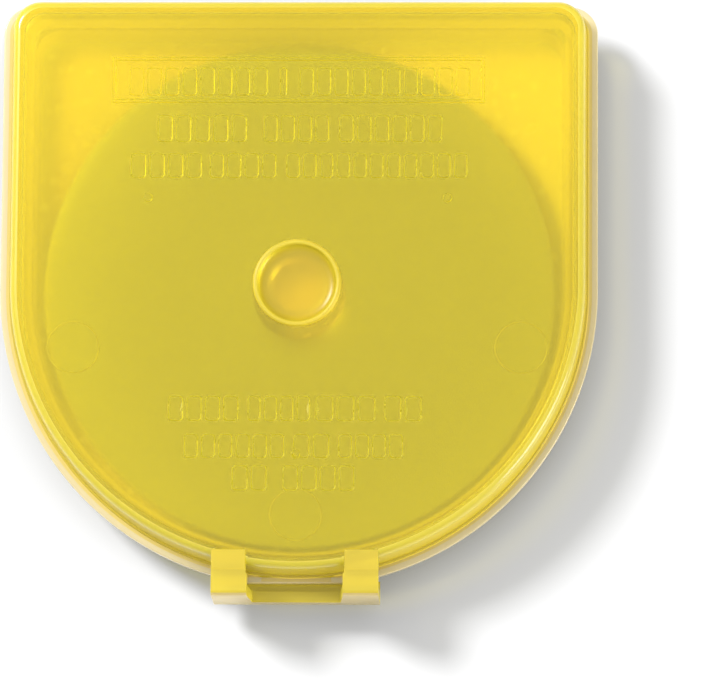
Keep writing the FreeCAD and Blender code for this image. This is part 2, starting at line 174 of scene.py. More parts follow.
HINGE_HALF = top_of("living_hinge").x
HINGE_AXIS_Y = frame["joints"][0]["pos_m"][1] / MM
HINGE_AXIS_Z = frame["joints"][0]["pos_m"][2] / MM
HINGE_OUTER = 0.4
HINGE_INNER = 0.15
HINGE_OVERLAP = 0.03

BLADE_COUNT = 5
BLADE_RADIUS = top_of("blade_1").x
BLADE_HOLE = 4.0
BEVEL_WIDTH = 1.0
EDGE_LAND = 0.04
BREAK_EDGE = 0.03
BLADE_MIDDLE = 12.0


# ---------------------------------------------------------------- mesh helpers

ARC_STEPS = 320
SIDE_STEPS = 24
CORNER_STEPS = 20
BACK_STEPS = 24
TURN_STEPS = 128
BLADE_STEPS = 240
HINGE_STEPS = 40
HINGE_BEND_STEPS = 14
PLATE_PITCH = 1.1
CEILING_PITCH = 1.6
TRAY_PITCH = 1.8
CLEARANCE = 0.6
WELD = 0.00001
SHARP = 35
BLADE_SHARP = 8
BEVEL_LIMIT = 40
HAIR = 0.003


def arc_points(cx, cy, radius, first, last, steps):
    """Points along an arc, without its last one."""
    points = []
    for step in range(steps):
        angle = math.radians(first + (last - first) * step / steps)
        points.append((cx + radius * math.cos(angle), cy + radius * math.sin(angle)))
    return points


def line_points(start, end, steps):
    """Points along a line, without its last one."""
    return [
        (start[0] + (end[0] - start[0]) * step / steps, start[1] + (end[1] - start[1]) * step / steps)
        for step in range(steps)
    ]


def case_outline(radius, back, corner, front=None):
    """The case's D shape: a half circle in front, straight sides and a back edge with round corners."""
    r, b, c = radius, back, corner
    points = arc_points(0, 0, r, 180, 360, ARC_STEPS)
    points += line_points((r, 0), (r, b - c), SIDE_STEPS)
    points += arc_points(r - c, b - c, c, 0, 90, CORNER_STEPS)
    points += line_points((r - c, b), (c - r, b), BACK_STEPS)
    points += arc_points(c - r, b - c, c, 90, 180, CORNER_STEPS)
    points += line_points((-r, b - c), (-r, 0), SIDE_STEPS)
    if front is not None:
        points = [(x, max(y, -front)) for x, y in points]
    return points


def circle_outline(radius, steps=TURN_STEPS):
    """A circle round the post's axis."""
    return arc_points(0, 0, radius, 0, 360, steps)


def add_loop(mesh, outline, z):
    """Adds one closed loop of vertices at a height."""
    return [mesh.verts.new((x, y, z)) for x, y in outline]


def bridge(mesh, lower, upper):
    """Joins two loops with as many vertices each by a band of four-sided faces."""
    count = len(lower)
    for i in range(count):
        j = (i + 1) % count
        mesh.faces.new((lower[i], lower[j], upper[j], upper[i]))


def bridge_all(mesh, loops):
    """Joins each loop to the next one."""
    for lower, upper in zip(loops, loops[1:]):
        bridge(mesh, lower, upper)


def fill_flat(mesh, boundary, holes, rings, pitch):
    """Fills the flat region inside a boundary loop with triangles.

    holes are round loops left open. rings are closed loops whose own heights the surface follows. The rest is
    filled round a grid of the given pitch. All loops are lists of vertices of the mesh. Where two outlines
    cross, the triangles that meet at the crossing are left out.
    """
    loops = [boundary] + holes + rings
    points = []
    owners = []
    edges = []
    for loop in loops:
        first = len(points)
        for vert in loop:
            points.append(Vector((vert.co.x, vert.co.y)))
            owners.append(vert)
        count = len(loop)
        edges += [(first + i, first + (i + 1) % count) for i in range(count)]
    reach = max(p.x for p in points)
    deep = max(p.y for p in points)
    height = boundary[0].co.z
    steps = int(2 * reach / pitch)
    clear = pitch * CLEARANCE
    for i in range(1, steps):
        for j in range(1, steps):
            x = -reach + i * pitch
            y = -reach + j * pitch
            deep_enough = depth_inside(x, y, reach, deep, LID_CORNER) > clear
            if deep_enough and not near_any(x, y, holes + rings, clear):
                points.append(Vector((x, y)))
                owners.append(mesh.verts.new((x, y, height)))
    _, _, faces, originals, _, _ = delaunay_2d_cdt(points, edges, [], 1, 1e-6)
    hole_circles = [loop_circle(loop) for loop in holes]
    for face in faces:
        if not all(originals[corner] for corner in face):
            continue
        verts = [owners[originals[corner][0]] for corner in face]
        x = sum(v.co.x for v in verts) / 3
        y = sum(v.co.y for v in verts) / 3
        if not any(math.hypot(x - cx, y - cy) < r for cx, cy, r in hole_circles):
            mesh.faces.new(verts)


def depth_inside(x, y, radius, back, corner):
    """How far a point lies inside the D shape; negative outside it."""
    if y < 0:
        return radius - math.hypot(x, y)
    dx = abs(x) - (radius - corner)
    dy = y - (back - corner)
    if dx > 0 and dy > 0:
        return corner - math.hypot(dx, dy)
    return min(radius - abs(x), back - y)


def loop_circle(loop):
    """The middle and radius of a round loop."""
    xs = [v.co.x for v in loop]
    ys = [v.co.y for v in loop]
    return (min(xs) + max(xs)) / 2, (min(ys) + max(ys)) / 2, (max(xs) - min(xs)) / 2


def near_any(x, y, loops, margin):
    """Whether a point lies near any loop, by about 24 of its vertices."""
    for loop in loops:
        for vert in loop[:: max(1, len(loop) // 24)]:
            if math.hypot(x - vert.co.x, y - vert.co.y) < margin:
                return True
    return False


def finish_mesh(mesh, name, sharp_degrees=SHARP):
    """Turns a bmesh in millimetres into an object in metres, with smooth shading except at sharp edges."""
    bmesh.ops.remove_doubles(mesh, verts=mesh.verts, dist=WELD)
    bmesh.ops.recalc_face_normals(mesh, faces=mesh.faces)
    data = bpy.data.meshes.new(name)
    mesh.to_mesh(data)
    mesh.free()
    data.transform(Matrix.Scale(MM, 4))
    piece = bpy.data.objects.new(name, data)
    scene.collection.objects.link(piece)
    shade(piece, sharp_degrees)
    return piece


def shade(piece, sharp_degrees=SHARP):
    """Smooth shading, except at edges sharper than the given angle."""
    data = piece.data
    for polygon in data.polygons:
        polygon.use_smooth = True
    data.set_sharp_from_angle(angle=math.radians(sharp_degrees))


def quarter(cx, cz, radius, first, last, steps=8):
    """(inset or radius, height) pairs along a fillet, its last point included."""
    pairs = []
    for step in range(steps + 1):
        angle = math.radians(first + (last - first) * step / steps)
        pairs.append((cx + radius * math.cos(angle), cz + radius * math.sin(angle)))
    return pairs


# ---------------------------------------------------------------- relief on the lid

# One plain raised frame, and rows of plain raised pads: centre line and height in Y, each group's X span.
RELIEF_FRAME = (-16.3, 16.3, 16.0, 20.1)
RELIEF_ROWS = (
    (17.9, 2.5, ((-14.8, -2.7), (-1.6, -1.0), (0.1, 15.0))),
    (13.7, 2.4, ((-12.3, -4.5), (-3.0, 2.7), (3.6, 12.6))),
    (10.4, 2.2, ((-14.6, -8.4), (-7.7, -1.9), (-1.0, 14.8))),
    (-11.1, 2.2, ((-11.1, -5.0), (-4.2, 1.2), (1.7, 6.9), (7.7, 10.9))),
    (-14.4, 2.1, ((-9.7, -1.0), (-0.2, 2.9), (3.7, 9.3))),
    (-17.2, 2.2, ((-5.5, -2.5), (-1.1, 5.1))),
)
FRAME_WIDTH = 0.34
FRAME_STEPS = (60, 8, 60, 8)
PAD_PITCH = 1.5
PAD_GAP = 0.3
PAD_SLOPE = 0.08
PAD_CORNER = 0.3
PAD_SLIMNESS = 4
LID_SHARP = 17

# Round marks: distance from the post's axis, angles, each loop's (radius, rise above the surface), and steps.
# The gate mark at 270 degrees crosses a pad of the row at -14.4, which leaves small gaps in the mesh there.
GATE_MARKS = (15.1, (30, 150, 270), ((0.4, 0), (0.36, 0.07), (0.2, 0.1)), 24)
EJECTOR_MARKS = (20.3, (196, 270, 344), ((2.28, 0), (2.23, 0.08)), 64)


def rounded_rectangle(left, right, low, high, corner, steps=4):
    """A rectangle with round corners, from its right side's top on, anticlockwise."""
    points = []
    for cx, cy, first in (
        (right - corner, high - corner, 0),
        (left + corner, high - corner, 90),
        (left + corner, low + corner, 180),
        (right - corner, low + corner, 270),
    ):
        points += arc_points(cx, cy, corner, first, first + 90, steps)
        angle = math.radians(first + 90)
        points.append((cx + corner * math.cos(angle), cy + corner * math.sin(angle)))
    return points


def add_pad(mesh, left, right, low, high):
    """One raised pad: its foot and its top, as two loops of the surface. A narrow pad has smaller corners."""
    loops = []
    for inset, rise in ((0, 0), (PAD_SLOPE, 1)):
        corner = min(PAD_CORNER, (right - left) / 2 - inset - 0.05)
        outline = rounded_rectangle(left + inset, right - inset, low + inset, high - inset, corner)
        loops.append(add_loop(mesh, outline, LID_TOP + RELIEF_HEIGHT * rise))
    return loops


def add_marks(mesh, marks, height):
    """Round raised marks on a surface at the given height."""
    distance, angles, profile, steps = marks
    loops = []
    for angle in angles:
        x = distance * math.cos(math.radians(angle))
        y = distance * math.sin(math.radians(angle))
        for radius, rise in profile:
            outline = [(x + px, y + py) for px, py in circle_outline(radius, steps)]
            loops.append(add_loop(mesh, outline, height + rise))
    return loops


def add_relief(mesh):
    """All relief loops of the lid's top, with the heights that the surface takes there."""
    loops = []
    left, right, low, high = RELIEF_FRAME
    for inset, rise in ((0, 0), (PAD_SLOPE, 1), (FRAME_WIDTH - PAD_SLOPE, 1), (FRAME_WIDTH, 0)):
        outline = []
        corners = [
            (left + inset, low + inset),
            (right - inset, low + inset),
            (right - inset, high - inset),
            (left + inset, high - inset),
        ]
        for start, end, steps in zip(corners, corners[1:] + corners[:1], FRAME_STEPS):
            outline += line_points(start, end, steps)
        loops.append(add_loop(mesh, outline, LID_TOP + RELIEF_HEIGHT * rise))
    for centre, tall, spans in RELIEF_ROWS:
        for left, right in spans:
            count = max(1, round((right - left) / PAD_PITCH))
            pitch = (right - left + PAD_GAP) / count
            for pad in range(count):
                start = left + pad * pitch
                width = pitch - PAD_GAP
                tallness = min(tall, max(width, 1.0) * PAD_SLIMNESS)
                loops += add_pad(mesh, start, start + width, centre - tallness / 2, centre + tallness / 2)
    return loops + add_marks(mesh, GATE_MARKS, LID_TOP)


# ---------------------------------------------------------------- lid


def lid_radius_at(z):
    """The radius of the lid's drafted outside at a height."""
    return LID_RADIUS - DRAFT * (z - LID_BOTTOM)


def lid_wall_profile():
    """(radius, height) pairs of the lid's wall: down inside from the ceiling, out, and up to the top."""
    inner = LID_RADIUS - LID_WALL
    lip = LID_RADIUS + LIP_WIDTH
    lip_top = LID_BOTTOM + LIP_HEIGHT
    small = LIP_ROUND
    profile = quarter(inner - INNER_ROUND, CEILING - INNER_ROUND, INNER_ROUND, 90, 0)
    profile += quarter(inner + small, LID_BOTTOM + small, small, 180, 270, 3)
    profile += quarter(lip - small, LID_BOTTOM + small, small, -90, 0, 3)
    profile += quarter(lip - small, lip_top - small, small, 0, 90, 3)
    profile.append((lid_radius_at(lip_top), lip_top))
    shoulder = lid_radius_at(LID_TOP - EDGE_ROUND)
    profile.append((shoulder + SHOULDER_STEP, LID_TOP - EDGE_ROUND - SHOULDER_DROP))
    profile += quarter(shoulder - EDGE_ROUND, LID_TOP - EDGE_ROUND, EDGE_ROUND, 0, 90, 12)
    return profile


def turn_profile(mesh, profile):
    """Loops round the post's axis for (radius, height) pairs."""
    return [add_loop(mesh, circle_outline(radius), z) for radius, z in profile]


def cap_centre(mesh, loop, z):
    """Closes a round loop with a fan."""
    centre = mesh.verts.new((0, 0, z))
    for i in range(len(loop)):
        mesh.faces.new((loop[i], loop[(i + 1) % len(loop)], centre))


def make_lid():
    """The lid as one shell, with its dimple, bead, spigot, relief, gate and ejector marks, and hasp roots."""
    mesh = bmesh.new()
    loops = []
    for radius, z in lid_wall_profile():
        inset = LID_RADIUS - radius
        back_inset = inset if inset > 0 else inset / LIP_WIDTH * (LIP_BACK - LID_BACK)
        back = LID_BACK - back_inset
        outline = case_outline(radius, back, LID_CORNER - inset * CORNER_SHRINK)
        loops.append(add_loop(mesh, outline, z))
    bridge_all(mesh, loops)

    dimple = LID_TOP - DIMPLE_DEPTH
    top_turn = [(TURN_CENTRE, dimple), (DIMPLE_FLOOR_RADIUS - DIMPLE_FLAT_EDGE, dimple)]
    width = BEAD_RADIUS - BEAD_HALF - DIMPLE_FLOOR_RADIUS
    for step in range(DIMPLE_STEPS + 1):
        angle = math.radians(DIMPLE_TURN * step / DIMPLE_STEPS)
        rise = (DIMPLE_DEPTH - DIMPLE_LIP) * (1 - math.cos(angle))
        top_turn.append((DIMPLE_FLOOR_RADIUS + width * math.sin(angle), dimple + rise))
    top_turn += quarter(BEAD_RADIUS, LID_TOP, BEAD_HALF, 180, 0, 12)
    top_turn += [(BEAD_RADIUS + BEAD_HALF + BEAD_FOOT, LID_TOP)]
    turned = turn_profile(mesh, top_turn)
    bridge_all(mesh, turned)
    cap_centre(mesh, turned[0], dimple)
    fill_flat(mesh, loops[-1], [turned[-1]], add_relief(mesh), PLATE_PITCH)

    spigot_turn = [
        (TURN_CENTRE, SPIGOT_BOTTOM),
        (SPIGOT_RADIUS - SPIGOT_CHAMFER, SPIGOT_BOTTOM),
        (SPIGOT_RADIUS, SPIGOT_BOTTOM + SPIGOT_CHAMFER),
    ]
    small = SPIGOT_FILLET
    spigot_turn += quarter(SPIGOT_RADIUS + small, CEILING - small, small, 180, 90, 4)
    spigot_turn += [(SPIGOT_RADIUS + 4 * small, CEILING)]
    turned = turn_profile(mesh, spigot_turn)
    bridge_all(mesh, turned)
    cap_centre(mesh, turned[0], SPIGOT_BOTTOM)
    fill_flat(mesh, loops[0], [turned[-1]], add_marks(mesh, EJECTOR_MARKS, CEILING), CEILING_PITCH)

    lid = finish_mesh(mesh, "lid", LID_SHARP)
    for left, right in STRAP_SPANS:
        low = (left, ROOT_FRONT, LID_TOP - ROOT_THICK)
        high = (right, ROOT_BACK, LID_TOP + ROOT_RISE)
        combine(lid, box_piece("root", low, high, EDGE_BEVEL), "UNION")
    shade(lid, LID_SHARP)
    return lid


# ---------------------------------------------------------------- booleans and boxes


def box_piece(name, low, high, bevel=0):
    """A box, with bevelled edges if a bevel is given, as a helper object in metres."""
    mesh = bmesh.new()
    bmesh.ops.create_cube(mesh, size=1)
    for vert in mesh.verts:
        vert.co = [a if value < 0 else b for value, a, b in zip(vert.co, low, high)]
    if bevel:
        bmesh.ops.bevel(mesh, geom=mesh.edges[:], offset=bevel, segments=2, affect="EDGES", profile=0.5)
    return finish_mesh(mesh, name)


def combine(piece, tool, operation):
    """Applies one exact boolean of the tool to the piece, and removes the tool."""
    modifier = piece.modifiers.new("combine", "BOOLEAN")
    modifier.operation = operation
    modifier.solver = "EXACT"
    modifier.object = tool
    bpy.context.view_layer.update()
    graph = bpy.context.evaluated_depsgraph_get()
    data = bpy.data.meshes.new_from_object(piece.evaluated_get(graph), depsgraph=graph)
    piece.modifiers.clear()
    old = piece.data
    piece.data = data
    bpy.data.meshes.remove(old)
    bpy.data.objects.remove(tool)


# ---------------------------------------------------------------- base


def base_loops():
    """Each loop of the base, from the underside's edge out, up, in and down to the floor's edge.

    Every entry is radius, back edge, corner radius, front limit and height. The flange has a loop where the
    lid's lip ends and one where its pale edge begins, because its material changes there.
    """
    under = FLANGE_TOP - FLANGE_THICK
    wall_top = WALL_RADIUS + DRAFT * under
    small = FLANGE_ROUND
    outside = quarter(WALL_RADIUS - FOOT_ROUND, FOOT_ROUND, FOOT_ROUND, -90, 0)
    outside += quarter(wall_top + small, under - small, small, 180, 90, 3)
    covered = LID_RADIUS + LIP_WIDTH - FLANGE_RADIUS
    flange = [(covered, under), (-PALE_EDGE, under)]
    flange += quarter(-small, under + small, small, -90, 0, 3)
    flange += quarter(-small, FLANGE_TOP - small, small, 0, 90, 3)
    flange += [(-PALE_EDGE, FLANGE_TOP), (covered, FLANGE_TOP)]
    inside = quarter(RIM_RADIUS + RIM_FILLET, FLANGE_TOP + RIM_FILLET, RIM_FILLET, 270, 180, 3)
    inside += quarter(RIM_RADIUS - RIM_ROUND, RIM_TOP - RIM_ROUND, RIM_ROUND, 0, 90, 3)
    inside += quarter(CAVITY_RADIUS + RIM_ROUND, RIM_TOP - RIM_ROUND, RIM_ROUND, 90, 180, 3)
    inside += quarter(CAVITY_RADIUS - CAVITY_ROUND, FLOOR + CAVITY_ROUND, CAVITY_ROUND, 0, -90, 6)
    sizes = (FLANGE_RADIUS, FLANGE_BACK, FLANGE_CORNER, FLANGE_FRONT)
    entries = [(radius, radius, FLANGE_CORNER, None, z) for radius, z in outside]
    entries += [(*[size + inset for size in sizes], z) for inset, z in flange]
    return entries + [(radius, radius, FLANGE_CORNER, None, z) for radius, z in inside]


def make_base():
    """The base tray and its centre post as one closed shell."""
    mesh = bmesh.new()
    loops = []
    for radius, back, corner, front, z in base_loops():
        loops.append(add_loop(mesh, case_outline(radius, back, corner, front), z))
    bridge_all(mesh, loops)
    under_turn = turn_profile(mesh, [(radius, 0) for radius in UNDERSIDE_RADII])
    bridge_all(mesh, under_turn)
    cap_centre(mesh, under_turn[0], 0)
    fill_flat(mesh, loops[0], [under_turn[-1]], [], TRAY_PITCH)
    seat = FLOOR + SEAT_HEIGHT
    turn = [(TURN_CENTRE, FLOOR)]
    turn += [(POST_BORE - BORE_FILLET, FLOOR), (POST_BORE, FLOOR + BORE_FILLET)]
    turn += [(POST_BORE, POST_TOP - BORE_CHAMFER), (POST_BORE + BORE_CHAMFER, POST_TOP)]
    turn += [(POST_RADIUS - POST_CHAMFER, POST_TOP), (POST_RADIUS, POST_TOP - POST_CHAMFER)]
    turn += quarter(POST_RADIUS + POST_FILLET, FLOOR + POST_FILLET, POST_FILLET, 180, 270, 4)
    small = SEAT_ROUND
    turn += [(SEAT_INNER, FLOOR), (SEAT_INNER + small, seat - small), (SEAT_INNER + 2 * small, seat)]
    turn += [(SEAT_OUTER - 2 * small, seat), (SEAT_OUTER - small, seat - small), (SEAT_OUTER, FLOOR)]
    turn += [(SEAT_OUTER + 1.0, FLOOR)]
    turned = turn_profile(mesh, turn)
    bridge_all(mesh, turned)
    cap_centre(mesh, turned[0], FLOOR)
    fill_flat(mesh, loops[-1], [turned[-1]], [], TRAY_PITCH)
    return finish_mesh(mesh, "base")


# ---------------------------------------------------------------- hasp


def make_hasp():
    """Two straps bent down over the flange, the crossbar with its nose, and the webs behind the straps."""
    outline = [(WEB_FRONT, LID_TOP)]
    outline += quarter(STRAP_FRONT + STRAP_ROUND, LID_TOP - STRAP_ROUND, STRAP_ROUND, 90, 180, 8)
    outline += quarter(STRAP_FRONT + HASP_ROUND, HASP_BOTTOM + HASP_ROUND, HASP_ROUND, 180, 270, 3)
    outline += [(NOSE_BACK - NOSE_LEAD, HASP_BOTTOM), (NOSE_BACK, HASP_BOTTOM + NOSE_LEAD)]
    outline += [(NOSE_BACK, NOSE_TOP), (STRAP_FRONT + STRAP_THICK, NOSE_TOP)]
    outline += [(STRAP_FRONT + STRAP_THICK, LID_TOP - ARM_THICK), (WEB_FRONT, LID_TOP - ARM_THICK)]
    mesh = bmesh.new()
    stations = []
    for x in (-HASP_HALF, HASP_HALF):
        stations.append([mesh.verts.new((x, y, z)) for y, z in outline])
    bridge(mesh, stations[0], stations[1])
    mesh.faces.new(stations[0])
    mesh.faces.new(list(reversed(stations[1])))
    hasp = finish_mesh(mesh, "hasp_straps")
    low = (-GAP_HALF, STRAP_FRONT - CUT_MARGIN, CROSSBAR_TOP)
    high = (GAP_HALF, WEB_FRONT + CUT_MARGIN, LID_TOP + CUT_MARGIN)
    window = box_piece("window", low, high)
    for vert in window.data.vertices:
        if vert.co.z < LID_TOP * MM:
            vert.co.x *= 1 - WINDOW_TAPER / GAP_HALF
    combine(hasp, window, "DIFFERENCE")
    for left, right in STRAP_SPANS:
        low = (left + WEB_INSET, WEB_FRONT - WEB_OVERLAP, WEB_BOTTOM)
        high = (right - WEB_INSET, ROOT_FRONT + ROOT_OVERLAP, LID_TOP - HAIR)
        combine(hasp, box_piece("web", low, high), "UNION")
    bevel = hasp.modifiers.new("soft_edges", "BEVEL")
    bevel.width = EDGE_BEVEL * MM
    bevel.segments = 2
    bevel.limit_method = "ANGLE"
    bevel.angle_limit = math.radians(BEVEL_LIMIT)
    shade(hasp)
    return hasp


# ---------------------------------------------------------------- living hinge


def make_hinge():
    """The thin web along the back edge, divided round its bend."""
    outer = quarter(HINGE_AXIS_Y, HINGE_AXIS_Z, HINGE_OUTER, -90, 90, HINGE_BEND_STEPS)
    inner = quarter(HINGE_AXIS_Y, HINGE_AXIS_Z, HINGE_INNER, 90, -90, HINGE_BEND_STEPS)
    end = LIP_BACK + HINGE_OVERLAP
    tip = [(end, HINGE_AXIS_Z + HINGE_OUTER), (end, HINGE_AXIS_Z + HINGE_INNER)]
    outline = outer + tip + inner
    mesh = bmesh.new()
    stations = []
    for step in range(HINGE_STEPS + 1):
        x = -HINGE_HALF + 2 * HINGE_HALF * step / HINGE_STEPS
        stations.append([mesh.verts.new((x, y, z)) for y, z in outline])
    bridge_all(mesh, stations)
    mesh.faces.new(stations[0])
    mesh.faces.new(list(reversed(stations[-1])))
    return finish_mesh(mesh, "hinge_web")


# ---------------------------------------------------------------- blades


def make_blade(index):
    """One blade: a thin disc with a hole, ground from both sides to a narrow edge."""
    node = f"blade_{index + 1}"
    low = bottom_of(node).z
    high = top_of(node).z
    middle = (low + high) / 2
    half_profile = [
        (BLADE_HOLE, BREAK_EDGE),
        (BLADE_HOLE + BREAK_EDGE, 0),
        (BLADE_MIDDLE, 0),
        (BLADE_RADIUS - BEVEL_WIDTH, 0),
    ]
    profile = [(radius, low + rise) for radius, rise in half_profile]
    profile += [(BLADE_RADIUS, middle - EDGE_LAND / 2), (BLADE_RADIUS, middle + EDGE_LAND / 2)]
    profile += [(radius, high - rise) for radius, rise in reversed(half_profile)]
    mesh = bmesh.new()
    loops = [add_loop(mesh, circle_outline(radius, BLADE_STEPS), z) for radius, z in profile]
    bridge_all(mesh, loops + loops[:1])
    return finish_mesh(mesh, f"blade_disc_{index + 1}", BLADE_SHARP)


# ---------------------------------------------------------------- materials

# Linear colours of the plastic's body in its regions. PEACH, FRONT and PALE also carry painted light, as noted at
# each.
YELLOW = (0.985, 0.88, 0.085)
WARM = (0.99, 0.80, 0.08)
CLEAR = (1.0, 0.87, 0.08)
RIM = (1.0, 0.86, 0.08)
# PEACH, on the flange, is partly the plastic's colour and partly painted glow: lighter and less yellow, it stands
# in for light carried through the case into the lid's shadow.
PEACH = (1.0, 0.78, 0.20)
# FRONT, on the hasp's front faces, is paler than the plastic: a painted reflection of the white surroundings.
FRONT = (0.95, 0.76, 0.36)
# PALE, on the flange's edge and the hinge web, is paler partly because the plastic is thin there and partly as a
# painted reflection of the white floor.
PALE = (0.98, 0.83, 0.46)

# What a face leaves of a lamp's light or, for GLOW, of bounced light.
TINTED = (1.0, 0.96, 0.30)
TINTED_THIN = (0.98, 0.97, 0.86)
GREY = (0.04, 0.04, 0.04)
DIM = (0.3, 0.3, 0.3)
GLOW = (0.10, 0.10, 0.10)

STEEL = (0.57, 0.57, 0.575)
PAPER = (0.95, 0.95, 0.95)

PLASTIC_IOR = 1.49
COAT_ROUGHNESS = 0.1
HAZE_SPREAD = 0.15
GRAIN_SCALE = 900
GRAIN_BUMP = (0.02, 0.0001)
GRIND_STRETCH = (60, 6000, 60)
GRIND_ROUGHNESS = (0.2, 0.26)
GRIND_BUMP = (0.05, 0.00002)


def new_material(name):
    """An empty node material, with its nodes and links."""
    material = bpy.data.materials.new(name)
    material.use_nodes = True
    material.node_tree.nodes.clear()
    return material, material.node_tree.nodes, material.node_tree.links


def add_node(nodes, kind, **values):
    """A new node with the given socket values. An underscore in a socket's name stands for a space."""
    node = nodes.new(kind)
    for name, value in values.items():
        node.inputs[name.replace("_", " ")].default_value = value
    return node


def mix_shaders(nodes, links, share, first, second):
    """Mixes two shaders by another node's output."""
    mix = nodes.new("ShaderNodeMixShader")
    links.new(share, mix.inputs["Fac"])
    links.new(first, mix.inputs[1])
    links.new(second, mix.inputs[2])
    return mix.outputs["Shader"]


def add_texture(nodes, links, shader, pattern, roughness, bump_size):
    """Drives a shader's roughness and bump by a pattern. A bump's size is its strength and its distance."""
    spread = add_node(nodes, "ShaderNodeMapRange", To_Min=roughness[0], To_Max=roughness[1])
    links.new(pattern.outputs["Fac"], spread.inputs["Value"])
    links.new(spread.outputs["Result"], shader.inputs["Roughness"])
    bump = add_node(nodes, "ShaderNodeBump", Strength=bump_size[0], Distance=bump_size[1])
    links.new(pattern.outputs["Fac"], bump.inputs["Height"])
    links.new(bump.outputs["Normal"], shader.inputs["Normal"])


def set_surface(nodes, links, surface):
    """Makes a shader the material's surface."""
    out = nodes.new("ShaderNodeOutputMaterial")
    links.new(surface, out.inputs["Surface"])


def plastic(name, haze, body, milk, lamps_in, lamps_out, tint=YELLOW, coat=0.0):
    """Tinted polypropylene.

    haze is the roughness of the face, body the share of light it scatters back, and milk the share it
    scatters through. coat is the weight of a smooth outer face over the hazy one. lamps_in and lamps_out are
    the colours that a face leaves of a lamp's light, for rays that meet it from outside and from inside the
    plastic. Bounced light passes a face by lamps_out, but by GLOW from outside where lamps_in is another
    colour.
    """
    material, nodes, links = new_material(name)
    shader = add_node(
        nodes,
        "ShaderNodeBsdfPrincipled",
        Base_Color=(*tint, 1),
        Transmission_Weight=1 - body,
        IOR=PLASTIC_IOR,
        Coat_Weight=coat,
        Coat_Roughness=COAT_ROUGHNESS,
    )
    place = nodes.new("ShaderNodeTexCoord")
    grain = add_node(nodes, "ShaderNodeTexNoise", Scale=GRAIN_SCALE, Detail=1)
    links.new(place.outputs["Object"], grain.inputs["Vector"])
    roughness = (haze * (1 - HAZE_SPREAD), haze * (1 + HAZE_SPREAD))
    add_texture(nodes, links, shader, grain, roughness, GRAIN_BUMP)
    glow = add_node(nodes, "ShaderNodeBsdfTranslucent", Color=(*tint, 1))
    scatter = add_node(nodes, "ShaderNodeMixShader", Fac=milk)
    links.new(shader.outputs["BSDF"], scatter.inputs[1])
    links.new(glow.outputs["BSDF"], scatter.inputs[2])
    path = nodes.new("ShaderNodeLightPath")
    sides = []
    for colour in dict.fromkeys((lamps_in, lamps_out)):
        bounced = colour if colour == lamps_out else GLOW
        side = scatter.outputs["Shader"]
        for kind, veil in (("Is Diffuse Ray", bounced), ("Is Shadow Ray", colour)):
            clear = add_node(nodes, "ShaderNodeBsdfTransparent", Color=(*veil, 1))
            side = mix_shaders(nodes, links, path.outputs[kind], side, clear.outputs["BSDF"])
        sides.append(side)
    surface = sides[0]
    if len(sides) == 2:
        facing = nodes.new("ShaderNodeNewGeometry")
        surface = mix_shaders(nodes, links, facing.outputs["Backfacing"], *sides)
    set_surface(nodes, links, surface)
    return material


def steel(name):
    """Ground tool steel, with fine straight grinding marks."""
    material, nodes, links = new_material(name)
    shader = add_node(nodes, "ShaderNodeBsdfPrincipled", Base_Color=(*STEEL, 1), Metallic=1)
    place = nodes.new("ShaderNodeTexCoord")
    stretch = add_node(nodes, "ShaderNodeMapping", Scale=GRIND_STRETCH)
    links.new(place.outputs["Object"], stretch.inputs["Vector"])
    grind = add_node(nodes, "ShaderNodeTexNoise", Scale=1, Detail=4)
    links.new(stretch.outputs["Vector"], grind.inputs["Vector"])
    add_texture(nodes, links, shader, grind, GRIND_ROUGHNESS, GRIND_BUMP)
    set_surface(nodes, links, shader.outputs["BSDF"])
    return material


# ---------------------------------------------------------------- stage


# Lamps: the direction the light comes from, the distance and size in metres, the radiance and the shape.
LAMPS = {
    "key": ((-0.58, 0.40, 0.71), 1.0, 0.3, 36, "DISK"),
    "overhead": ((0, 0.1, 1), 1.2, 1.5, 0.67, "SQUARE"),
    "fill": ((0.85, -0.38, 0.20), 1.5, 0.8, 7.2, "DISK"),
}
WORLD_RADIANCE = 0.38

# Camera: lens and sensor in millimetres, the point it aims at and its distance in metres, angles in degrees.
CAMERA_LENS = 335
CAMERA_SENSOR = 36
CAMERA_AIM = (0.00553, -0.00541, LID_TOP * MM)
CAMERA_DISTANCE = 0.5823
CAMERA_ELEVATION = 80
CAMERA_ASIDE = 1.72
CAMERA_ROLL = 0.38

FLOOR_HALF = 1500
FLOOR_DROP = 0.00002


def make_floor():
    """A wide sheet of white paper, just under the case's feet."""
    mesh = bmesh.new()
    bmesh.ops.create_grid(mesh, x_segments=1, y_segments=1, size=FLOOR_HALF)
    floor = finish_mesh(mesh, "floor")
    floor.location.z = -FLOOR_DROP
    material, nodes, links = new_material("white_paper")
    shader = add_node(
        nodes, "ShaderNodeBsdfPrincipled", Base_Color=(*PAPER, 1), Roughness=0.9, Specular_IOR_Level=0.1
    )
    set_surface(nodes, links, shader.outputs["BSDF"])
    floor.data.materials.append(material)


def make_light(name, towards, distance, size, radiance, shape):
    """An area light that faces the origin from a direction, with a given radiance."""
    data = bpy.data.lights.new(name, "AREA")
    data.shape = shape
    data.size = size
    area = math.pi * size * size / 4 if shape == "DISK" else size * size
    data.energy = radiance * area * math.pi
    lamp = bpy.data.objects.new(name, data)
    direction = Vector(towards).normalized()
    lamp.location = direction * distance
    lamp.rotation_euler = direction.to_track_quat("Z", "Y").to_euler()
    scene.collection.objects.link(lamp)
    return lamp


def make_world(radiance):
    """An even white surrounding light."""
    world = bpy.data.worlds.new("studio")
    world.use_nodes = True
    background = world.node_tree.nodes["Background"]
    background.inputs["Color"].default_value = (1, 1, 1, 1)
    background.inputs["Strength"].default_value = radiance
    scene.world = world


